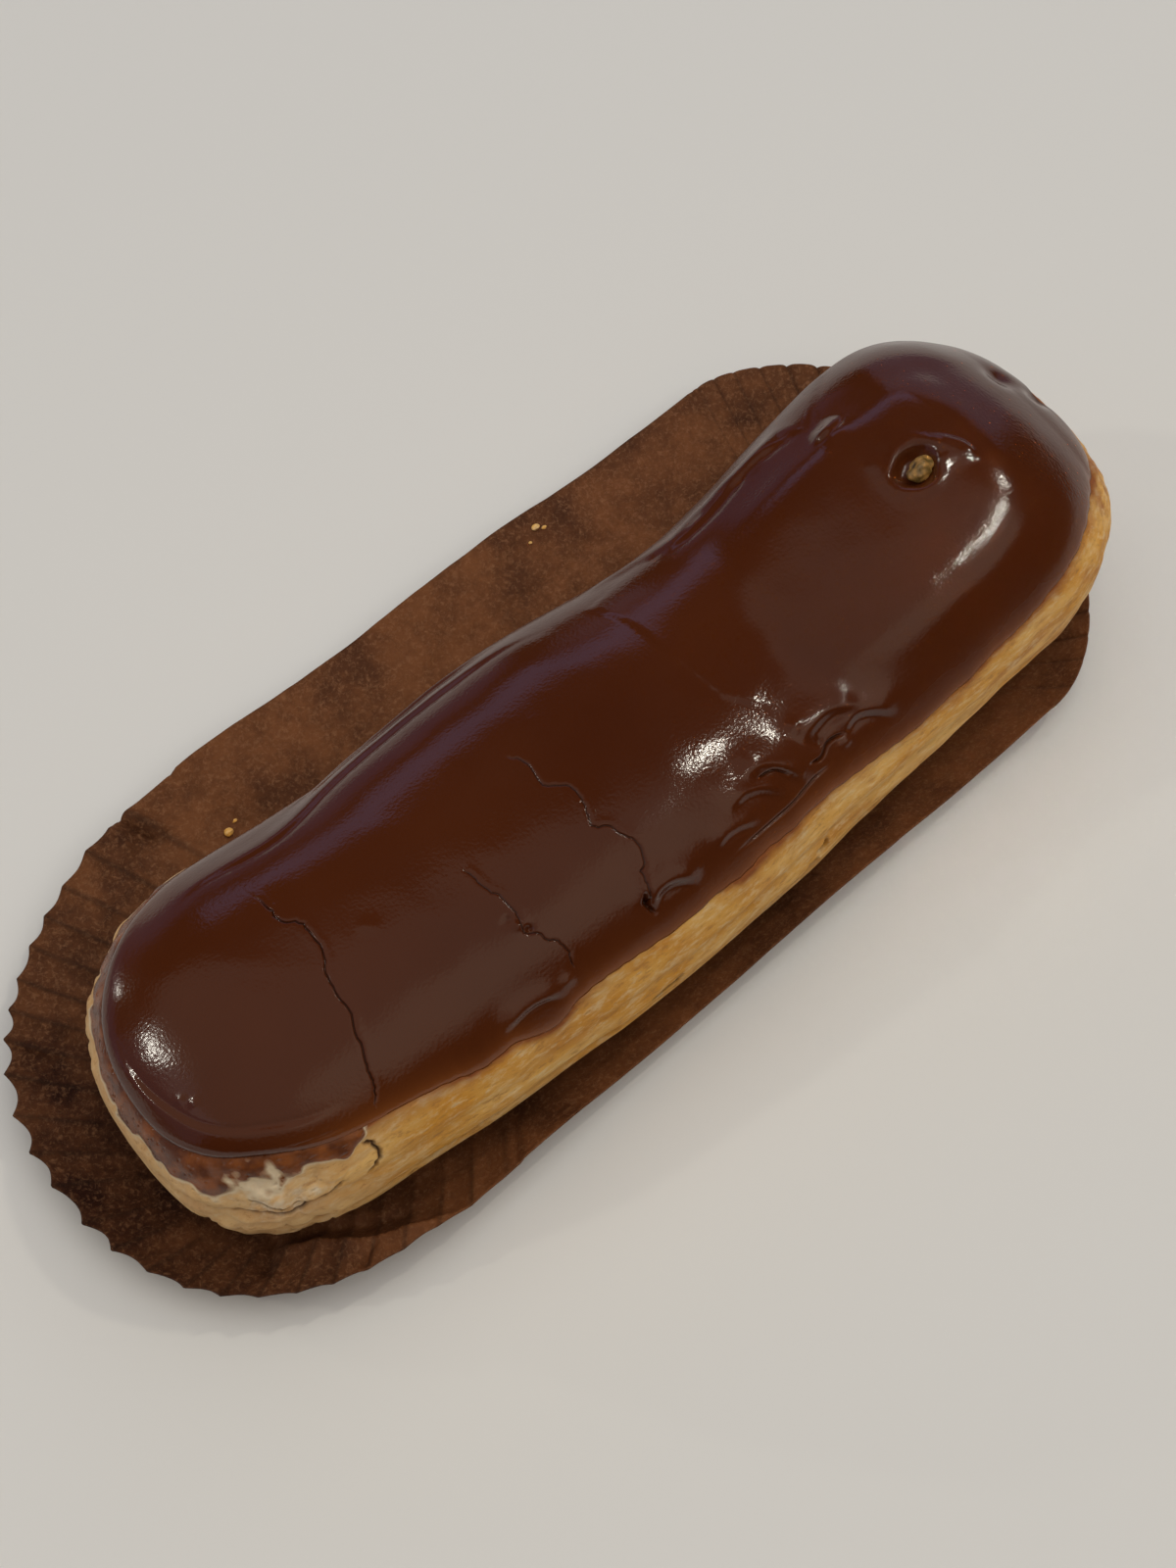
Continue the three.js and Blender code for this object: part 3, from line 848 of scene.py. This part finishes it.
def case_surface(turn, share):
    """A point of the paper's underside, from its turn round the case and its share of the
    way from the middle to the rim."""
    x, y, rim, depth, phase = case_outline(turn)
    base_x = x * BASE_LENGTH / (CASE_LEFT["reach"] + CASE_RIGHT["reach"])
    base_y = y * BASE_WIDTH / (2 * CASE_HALF_WIDTH)
    to_edge = np.clip(share / BASE_SHARE, 0, 1)
    wall = np.clip((share - BASE_SHARE) / (1 - BASE_SHARE), 0, 1)
    ridge = 1 - np.abs(np.sin(phase / 2))
    pleat = np.where(x < 0, ridge - 0.36, 0.3 - ridge**2.5) * depth * wall**0.7
    pleat = pleat * (1 + 0.45 * lattice_noise(np.column_stack([x, y, 30 * wall]), 6, 65))
    spread = 1 + np.where(x < 0, 0.5, 0.1) * pleat * wall / 40
    plan_x = (BASE_OFFSET[0] + base_x * to_edge) * (1 - wall) + x * wall * spread
    plan_y = (BASE_OFFSET[1] + base_y * to_edge) * (1 - wall) + y * wall * spread
    c, s = math.cos(CASE_TURN), math.sin(CASE_TURN)
    px = CASE_CENTRE[0] + c * plan_x - s * plan_y
    py = CASE_CENTRE[1] + s * plan_x + c * plan_y
    py = py - CASE_END_SLIP * smoothstep(35, 75, -px)
    flat = np.column_stack([px, py, np.zeros_like(px)])
    wave = CASE_SIDE_WAVE[0] * np.sin(2 * math.pi * x / CASE_SIDE_WAVE[1]) * (depth == 0)
    height = (rim + wave) * wall**WALL_CURL + pleat
    crinkle = lumps(flat, PAPER_CRINKLE) * np.where(x < -40, 1.5, 1)
    height = height + crinkle * smoothstep(0, 0.3, wall)
    for path, rise, width in CASE_FOLDS:
        gap, place, side = path_distance(flat, np.array([(*point, 0) for point in path]))
        crest = np.exp(-gap / (width * np.where(side > 0, 0.4, 2)))
        shape = crest if rise > 0 else bell(gap / width)
        height = height + rise * shape * fading(place, 0.3)
    height = np.maximum(np.minimum(height, pressed_height(px, py)), 0)
    return np.column_stack([px, py, height])


def make_case(material):
    """A flat sheet wrapped round its middle, closed along one seam and given thickness.
    Returns its surface, for what lies on it."""
    select_none()
    bpy.ops.mesh.primitive_grid_add(x_subdivisions=1000, y_subdivisions=40, size=1)
    case = just_added("paper_case_sheet")
    co = mesh_points(case)
    turn = np.round(co[:, 0] + 0.5, 6) % 1
    share = np.clip(1 - (0.5 - co[:, 1]) ** 1.15, 0, 1)
    surface = case_surface(turn, share)
    set_points(case, to_row(surface))
    _, _, _, depth, phase = case_outline(turn)
    # Painted shade, partly butter too: the paper darkened along the flutes' fold lines.
    line = np.clip(1 - np.abs(np.sin(phase / 2)) * 3, 0, 1) * (depth > 0)
    sharp = 0.3 + 0.7 * smoothstep(0, 0.6, depth)
    set_share(case, "fold_grease_and_shade", line * smoothstep(0.35, 0.75, share) * sharp)
    # Darker towards the plain end and on the far side of the humped half: partly butter that has
    # seeped in, partly painted shade; the blotches in the material are butter.
    grease_and_shade = 0.2 + 0.5 * (1 - smoothstep(-66, -42, surface[:, 0]))
    grease_and_shade += 0.25 * smoothstep(-10, 45, surface[:, 0]) * (surface[:, 1] > 0)
    set_share(case, "grease_and_shade", grease_and_shade)
    bpy.ops.object.mode_set(mode="EDIT")
    bpy.ops.mesh.select_all(action="SELECT")
    bpy.ops.mesh.remove_doubles(threshold=0.001 * MM)
    bpy.ops.mesh.normals_make_consistent(inside=False)
    bpy.ops.object.mode_set(mode="OBJECT")
    wall = case.modifiers.new("paper", "SOLIDIFY")
    wall.thickness = PAPER * MM
    wall.offset = 0
    bpy.ops.object.modifier_apply(modifier=wall.name)
    set_points(case, mesh_points(case) + (0, 0, PAPER / 2 * MM))
    finish_piece(case, material, ("paper_case",))
    return surface


# ---- The small pieces ----

# The nub of choux in the crater: how far it lies from the crater's middle, and its size.
NUB = {"x": 0.5, "y": -0.6, "sink": 0.85, "length": 1.8, "width": 1.3, "height": 1.1}
NUB_HOLE = (-0.55, 0.45, 0.7)  # where its bubble burst, as a share of its half size
NUB_HOLE_RADIUS = 0.3

# Crumbs on the paper: plan place and size.
CRUMBS = (
    (14.1, 38.2, 0.55), (15.6, 38.0, 0.3), (12.6, 37.2, 0.25), (-39.5, 27.7, 0.7),
    (-38.2, 28.2, 0.3),
)


def make_nub(material):
    nub = unit_ball("choux_nub", 36, 26)
    unit = mesh_points(nub)
    hole = bell(np.linalg.norm(unit - np.array(NUB_HOLE), axis=1) / NUB_HOLE_RADIUS)
    lumpy = 1 + lumps(unit, NUB_LUMPS) - 0.45 * hole
    size = np.array([NUB["length"], NUB["width"], NUB["height"]])
    middle = lifted(((CRATER["x"] + NUB["x"], CRATER["y"] + NUB["y"]),))[0]
    middle[2] += MOUND["height"] - NUB["sink"]
    set_points(nub, to_row(middle + unit * size * lumpy[:, None]))
    # Painted shade: the bubble hole is darkened in colour as well as dented in.
    set_share(nub, "hole", 1.2 * hole)
    finish_piece(nub, material)


def make_crumbs(material, paper):
    """Crumbs of crust that fell on the paper's surface, joined into one mesh."""
    crumbs = []
    for i, (x, y, size) in enumerate(CRUMBS):
        crumb = unit_ball(f"crumb_{i}", 14, 10)
        unit = mesh_points(crumb)
        rough = 1 + 0.45 * lattice_noise(unit + 9 * i, 0.8, 82)
        place = paper[np.argmin(np.hypot(paper[:, 0] - x, paper[:, 1] - y))]
        place = place + (0, 0, PAPER + 0.3 * size)
        flat = np.array([1.0, 0.75, 0.55]) * size
        set_points(crumb, to_row(place + unit * flat * rough[:, None]))
        crumbs.append(crumb)
    select_none()
    for crumb in crumbs:
        crumb.select_set(True)
    bpy.context.view_layer.objects.active = crumbs[0]
    bpy.ops.object.join()
    joined = bpy.context.object
    joined.name = "crust_crumbs"
    finish_piece(joined, material)


# ---- Materials ----


def linear(hex_colour):
    """An sRGB hex value as a linear colour with full alpha."""
    parts = [int(hex_colour[i:i + 2], 16) / 255 for i in (1, 3, 5)]
    return (*[p / 12.92 if p <= 0.04045 else ((p + 0.055) / 1.055) ** 2.4 for p in parts], 1)


def per_mm(size):
    """A texture scale whose features are about size millimetres across."""
    return 1 / (size * MM)


def feed(tree, node, inputs):
    """Gives a node's inputs their values or links."""
    for name, value in inputs.items():
        if isinstance(value, bpy.types.NodeSocket):
            tree.links.new(value, node.inputs[name])
        else:
            node.inputs[name].default_value = value


def add(tree, kind, output, inputs, **settings):
    """Adds a node with its settings, values and links, and gives one of its outputs."""
    node = tree.nodes.new("ShaderNode" + kind)
    for name, value in settings.items():
        setattr(node, name, value)
    feed(tree, node, inputs)
    return node.outputs[output]


def new_material(name):
    material = bpy.data.materials.new(name)
    material.use_nodes = True
    tree = material.node_tree
    return material, tree, tree.nodes["Principled BSDF"]


# A colour Mix node's sockets: its share, its two colours and its result.
SHARE, BASE, LAYER, MIXED = 0, 6, 7, 2


def chocolate_icing():
    """Chocolate fondant icing, poured warm and left to set: a soft gloss with a very fine
    orange peel, duller on its steep sides, near black with painted shade in its cracks and
    creases, and caramel brown where it runs out thin."""
    material, tree, shader = new_material("chocolate_fondant_icing")
    place = add(tree, "TexCoord", "Object", {})
    thin, crack_shade, dull = (
        add(tree, "Attribute", "Fac", {}, attribute_name=name)
        for name in ("thin", "crack_shade", "dull")
    )
    clouds = add(tree, "TexNoise", "Fac", {"Vector": place, "Scale": per_mm(22), "Detail": 3})
    # Painted shade: the cracks and creases turn near black.
    dark = add(tree, "MapRange", "Result", {"Value": crack_shade, "From Min": 0.15, "To Max": 0.85})
    colour = linear("#431b08")
    for share, tone in ((clouds, "#53260e"), (thin, "#8a4d22"), (dark, "#120703")):
        colour = add(tree, "Mix", MIXED, {
            SHARE: share, BASE: colour, LAYER: linear(tone)}, data_type="RGBA")
    haze = add(tree, "TexNoise", "Fac", {"Vector": place, "Scale": per_mm(9), "Detail": 4})
    haze = add(tree, "MapRange", "Result", {
        "Value": haze, "From Min": 0.3, "From Max": 0.7, "To Min": 0.11, "To Max": 0.17})
    roughness = add(tree, "Math", "Value", {0: dull, 1: 0.16, 2: haze},
                    operation="MULTIPLY_ADD")
    specular = add(tree, "MapRange", "Result", {"Value": dull, "To Min": 0.5, "To Max": 0.16})
    peel = add(tree, "TexNoise", "Fac", {"Vector": place, "Scale": per_mm(0.38)})
    normal = add(tree, "Bump", "Normal", {
        "Height": peel, "Strength": 0.6, "Distance": 0.04 * MM})
    feed(tree, shader, {
        "Base Color": colour, "Roughness": roughness, "Specular IOR Level": specular,
        "Normal": normal, "IOR": 1.5})
    return material


def baked_choux():
    """Choux pastry, piped and baked: a dry matt crust with long fine pores, golden and
    toasted on its ridges, floury below, stained orange brown by the icing just under the
    lip, and under a shiny caramel glaze round its plain end."""
    material, tree, shader = new_material("baked_choux_crust")
    place = add(tree, "TexCoord", "Object", {})
    long_way = add(tree, "Mapping", "Vector", {"Vector": place, "Scale": (0.4, 1, 1)})
    toast, flour, groove_and_shade, bare, stain, glaze, split_shade = (
        add(tree, "Attribute", "Fac", {}, attribute_name=name)
        for name in ("toast", "flour", "groove_and_shade", "bare", "stain", "glaze", "split_shade")
    )
    # Mottles of the crust: the way they run, their size, detail and roughness.
    grain, pale, brown, flakes, pools = (
        add(tree, "TexNoise", "Fac", {
            "Vector": way, "Scale": per_mm(size), "Detail": detail, "Roughness": rough})
        for way, size, detail, rough in (
            (long_way, 0.9, 6, 0.7), (long_way, 4, 4, 0.5), (long_way, 2.6, 5, 0.6),
            (place, 1.3, 5, 0.7), (place, 2.2, 4, 0.5))
    )
    # The shares drawn from them: from which value to which, and the share they reach.
    pale, brown, flakes, pools, crest, pore, wet_edge, dry_edge, glazed = (
        add(tree, "MapRange", "Result", {
            "Value": value, "From Min": low, "From Max": high, "To Max": reached})
        for value, low, high, reached in (
            (pale, 0.38, 0.62, 1), (brown, 0.46, 0.64, 1), (flakes, 0.4, 0.6, 1),
            (pools, 0.4, 0.62, 1), (grain, 0.5, 0.66, 0.6), (grain, 0.44, 0.34, 0.6),
            (glaze, 0.02, 0.3, 1), (glaze, 0.8, 0.4, 1), (glaze, 0.35, 0.75, 1))
    )
    brown = add(tree, "Math", "Value", {0: brown, 1: toast}, operation="MULTIPLY")
    bare = add(tree, "Math", "Value", {0: bare, 1: flakes}, operation="MULTIPLY")
    fringe = add(tree, "Math", "Value", {0: wet_edge, 1: dry_edge}, operation="MULTIPLY")
    fringe = add(tree, "Math", "Value", {0: fringe, 1: 0.8}, operation="MULTIPLY")
    caramel = add(tree, "Mix", MIXED, {
        SHARE: pools, BASE: linear("#5a2c10"), LAYER: linear("#86491e")}, data_type="RGBA")
    colour = linear("#dc9a30")
    # The split and groove layers are painted shade, darker down in them.
    layers = (
        (pale, linear("#ecba66")), (brown, linear("#b0682a")), (crest, linear("#f0d8a8")),
        (flour, linear("#d6b488")), (pore, linear("#a8703a")), (groove_and_shade, linear("#a06624")),
        (bare, linear("#e6d3b4")), (stain, linear("#8a4a1a")), (fringe, linear("#e0cdab")),
        (glazed, caramel), (split_shade, linear("#3c2012")),
    )
    for share, tone in layers:
        colour = add(tree, "Mix", MIXED, {
            SHARE: share, BASE: colour, LAYER: tone}, data_type="RGBA")
    roughness = add(tree, "MapRange", "Result", {
        "Value": glaze, "From Min": 0.4, "From Max": 0.8, "To Min": 0.72, "To Max": 0.16})
    pits = add(tree, "TexVoronoi", "Distance", {"Vector": long_way, "Scale": per_mm(0.8)})
    pits = add(tree, "MapRange", "Result", {"Value": pits, "From Max": 0.3})
    relief = add(tree, "Math", "Value", {0: grain, 1: pits}, operation="ADD")
    normal = add(tree, "Bump", "Normal", {
        "Height": relief, "Strength": 0.8, "Distance": 0.15 * MM})
    feed(tree, shader, {
        "Base Color": colour, "Roughness": roughness, "Normal": normal, "IOR": 1.45})
    return material


def greaseproof_paper():
    """Dark brown greaseproof paper, pressed in a fluted mould: matt, a felt of fine
    fibres, darker in blotches where the butter has seeped in, darker towards the plain end
    and behind the humped half partly from butter and partly as painted shade, darker in its
    flutes partly from butter and partly as painted shade, and near black in its crinkle
    creases as painted shade."""
    material, tree, shader = new_material("brown_greaseproof_paper")
    place = add(tree, "TexCoord", "Object", {})
    grease_and_shade, fold_grease_and_shade = (
        add(tree, "Attribute", "Fac", {}, attribute_name=name) for name in ("grease_and_shade", "fold_grease_and_shade")
    )
    blotch, fibres, crinkle = (
        add(tree, "TexNoise", "Fac", {
            "Vector": place, "Scale": per_mm(size), "Detail": 6, "Roughness": rough,
            "Distortion": distortion})
        for size, rough, distortion in ((11, 0.7, 0), (0.55, 0.75, 0.6), (3, 0.7, 0.4))
    )
    blotch = add(tree, "MapRange", "Result", {
        "Value": blotch, "From Min": 0.35, "From Max": 0.65, "To Min": -0.42, "To Max": 0.42})
    grease_and_shade = add(tree, "Math", "Value", {0: grease_and_shade, 1: blotch}, operation="ADD")
    crinkle = add(tree, "Math", "Value", {0: crinkle, 1: 0.5}, operation="SUBTRACT")
    crinkle = add(tree, "Math", "Value", {0: crinkle}, operation="ABSOLUTE")
    grease_and_shade, felt, crease_shade, flute_grease_and_shade, raised = (
        add(tree, "MapRange", "Result", {
            "Value": value, "From Min": low, "From Max": high, "To Min": first, "To Max": last})
        for value, low, high, first, last in (
            (grease_and_shade, 0, 1, 0, 1), (fibres, 0.5, 0.7, 0, 0.6), (crinkle, 0, 0.03, 0.12, 0),
            (fold_grease_and_shade, 0, 1, 0, 0.55), (crinkle, 0, 0.05, 0, 0.3))
    )
    colour = linear("#744626")
    # Layers: butter blotches with painted shade towards the plain end and the far side, the
    # fibres, painted shade in the crinkle creases, and the flutes darkened partly by butter and
    # partly by painted shade.
    layers = ((grease_and_shade, "#2c1207"), (felt, "#996c4a"), (crease_shade, "#1c0f07"), (flute_grease_and_shade, "#1c0f07"))
    for share, tone in layers:
        colour = add(tree, "Mix", MIXED, {
            SHARE: share, BASE: colour, LAYER: linear(tone)}, data_type="RGBA")
    relief = add(tree, "Math", "Value", {0: fibres, 1: raised}, operation="ADD")
    normal = add(tree, "Bump", "Normal", {
        "Height": relief, "Strength": 0.7, "Distance": 0.12 * MM})
    feed(tree, shader, {
        "Base Color": colour, "Roughness": 0.7, "Specular IOR Level": 0.3, "Normal": normal,
        "IOR": 1.4})
    return material


def burst_choux():
    """Choux dough that pushed up through the icing and toasted: cream and olive gold,
    with a bubble hole darkened near black as painted shade."""
    material, tree, shader = new_material("toasted_choux_nub")
    place = add(tree, "TexCoord", "Object", {})
    hole = add(tree, "Attribute", "Fac", {}, attribute_name="hole")
    toasted = add(tree, "TexNoise", "Fac", {
        "Vector": place, "Scale": per_mm(0.8), "Detail": 3})
    toasted = add(tree, "MapRange", "Result", {
        "Value": toasted, "From Min": 0.35, "From Max": 0.65})
    colour = linear("#4d3c16")
    # The hole layer is painted shade: near black down in the bubble hole.
    for share, tone in ((toasted, "#a47a3e"), (hole, "#0e0a06")):
        colour = add(tree, "Mix", MIXED, {
            SHARE: share, BASE: colour, LAYER: linear(tone)}, data_type="RGBA")
    feed(tree, shader, {"Base Color": colour, "Roughness": 0.35})
    return material


def pale_counter():
    """A plain matt pale surface to stand on."""
    material, tree, shader = new_material("plain_pale_counter")
    feed(tree, shader, {"Base Color": linear("#e6e3dc"), "Roughness": 0.6})
    return material


# ---- Camera, floor and lights ----

CAMERA_ELEVATION = math.radians(62)
CAMERA_TURN = math.radians(38)
CAMERA_LENS = 50
CAMERA_PLACE = (-77.16, -89.33, 231.33)


def make_camera():
    """Looks down at the eclair from its near side, with the plain end on the left."""
    data = bpy.data.cameras.new("camera")
    data.lens = CAMERA_LENS
    data.sensor_width = 36
    data.clip_start, data.clip_end = 0.01, 20
    camera = bpy.data.objects.new("camera", data)
    bpy.context.scene.collection.objects.link(camera)
    aside = Vector((math.sin(CAMERA_TURN), math.cos(CAMERA_TURN), 0))
    right = Vector((aside.y, -aside.x, 0))
    back = -math.cos(CAMERA_ELEVATION) * aside
    back.z = math.sin(CAMERA_ELEVATION)
    turned = Matrix((right, back.cross(right), back)).transposed().to_4x4()
    camera.matrix_world = Matrix.Translation(to_row(CAMERA_PLACE)) @ turned
    bpy.context.scene.camera = camera


def make_floor():
    select_none()
    bpy.ops.mesh.primitive_plane_add(size=6)
    floor = just_added("floor")
    floor.data.materials.append(pale_counter())


def add_light(name, shape, size, place, radiance, colour, turned=None):
    """An area light of a given radiance. It faces the eclair, or straight down, turned
    about the upright."""
    data = bpy.data.lights.new(name, "AREA")
    data.shape = shape
    data.size = size[0]
    data.size_y = size[1]
    area = size[0] * size[1] * (math.pi / 4 if shape == "DISK" else 1)
    data.energy = radiance * math.pi * area
    data.color = linear(colour)[:3]
    light = bpy.data.objects.new(name, data)
    light.location = place
    faced = Vector(place).to_track_quat("Z", "Y").to_euler()
    light.rotation_euler = faced if turned is None else (0, 0, turned)
    bpy.context.scene.collection.objects.link(light)
    return light


def add_shoulder_lamp(name, direction):
    """A small lamp whose narrow beam falls on the hump's shoulder."""
    away = Vector(direction).normalized() * LAMP_DISTANCE
    place = Vector(to_row(SHOULDER)) + away
    lamp = add_light(name, "DISK", SHOULDER_LAMP_SIZE, place, SHOULDER_RADIANCE, WARM_WHITE)
    lamp.rotation_euler = away.to_track_quat("Z", "Y").to_euler()
    half_beam = SHOULDER_BEAM / 2
    lamp.data.spread = SHOULDER_BEAM
    lamp.data.energy *= 1 - half_beam / math.tan(half_beam)


# The pale ceiling, a metre above, ends in a straight edge over the eclair: the icing
# mirrors it on its near side, and the dark room beyond it on the crown and the far side.
CEILING_EDGE = 0.29
CEILING_SIZE = (1.9, 2.6)
CEILING_TURN = math.radians(41)

# The windows and the large soft lights: size and place in metres, radiance and colour.
WINDOWS = (
    ("ceiling_wash", (0.7, 0.5), (0.2, -0.55, 0.8), 0.3, "#ffe8c8"),
    ("window", (1.1, 0.34), (0.5, 1.15, 0.78), 0.7, "#a4bcf6"),
    ("window_far", (2.4, 0.6), (-0.6, 1.5, 0.2), 0.24, "#a9b2f2"),
    ("window_right", (1.3, 0.7), (1.15, 0.98, 0.25), 0.3, "#b9c4ee"),
    ("window_low", (1.2, 1.0), (-1.3, 0.3, 0.6), 0.24, "#c8ccf0"),
    ("soft_fill", (3, 3), (0.4, 0, 1.6), 0.96, "#f3f6fa"),
)

# The small lamps: direction, size in metres, radiance and colour.
LAMP_DISTANCE = 1.3
WARM_WHITE = "#fff8e8"
LAMPS = (
    ("lamp_left", (-0.68, 0.44, 0.60), 0.04, 240, "#fffaec"),
    ("lamp_far", (-0.53, 0.79, 0.3), 0.04, 160, "#fffaec"),
    ("lamp_right", (0.57, -0.02, 0.82), 0.048, 230, WARM_WHITE),
)

# Narrow lamps that shine on the hump's near shoulder only: their directions from it.
SHOULDER = (42, -8, 33)
SHOULDER_LAMPS = ((0.39, -0.2, 0.9), (0.3, -0.23, 0.93), (0.19, -0.27, 0.95))
SHOULDER_LAMP_SIZE = (0.04, 0.04)
SHOULDER_BEAM = math.radians(3)
SHOULDER_RADIANCE = 420


def make_lights():
    world = bpy.data.worlds.new("room")
    world.use_nodes = True
    world.node_tree.nodes["Background"].inputs["Color"].default_value = linear("#c0b4a8")
    world.node_tree.nodes["Background"].inputs["Strength"].default_value = 0.04
    bpy.context.scene.world = world
    middle = CEILING_EDGE - CEILING_SIZE[0] / 2
    centre = (middle * math.cos(CEILING_TURN), middle * math.sin(CEILING_TURN), 1.0)
    add_light("ceiling", "RECTANGLE", CEILING_SIZE, centre, 0.3, "#fff2e2", CEILING_TURN)
    for name, size, place, radiance, colour in WINDOWS:
        add_light(name, "RECTANGLE", size, place, radiance, colour)
    bpy.data.objects["soft_fill"].visible_glossy = False
    for name, direction, size, radiance, colour in LAMPS:
        place = Vector(direction).normalized() * LAMP_DISTANCE
        add_light(name, "DISK", (size, size), place, radiance, colour)
    for i, direction in enumerate(SHOULDER_LAMPS):
        add_shoulder_lamp(f"lamp_shoulder_{i}", direction)
    bpy.context.scene.view_settings.view_transform = "Standard"


make_camera()
make_floor()
make_lights()
CRUST = baked_choux()
make_bun(CRUST)
make_icing(chocolate_icing())
PAPER_SURFACE = make_case(greaseproof_paper())
make_nub(burst_choux())
make_crumbs(CRUST, PAPER_SURFACE)
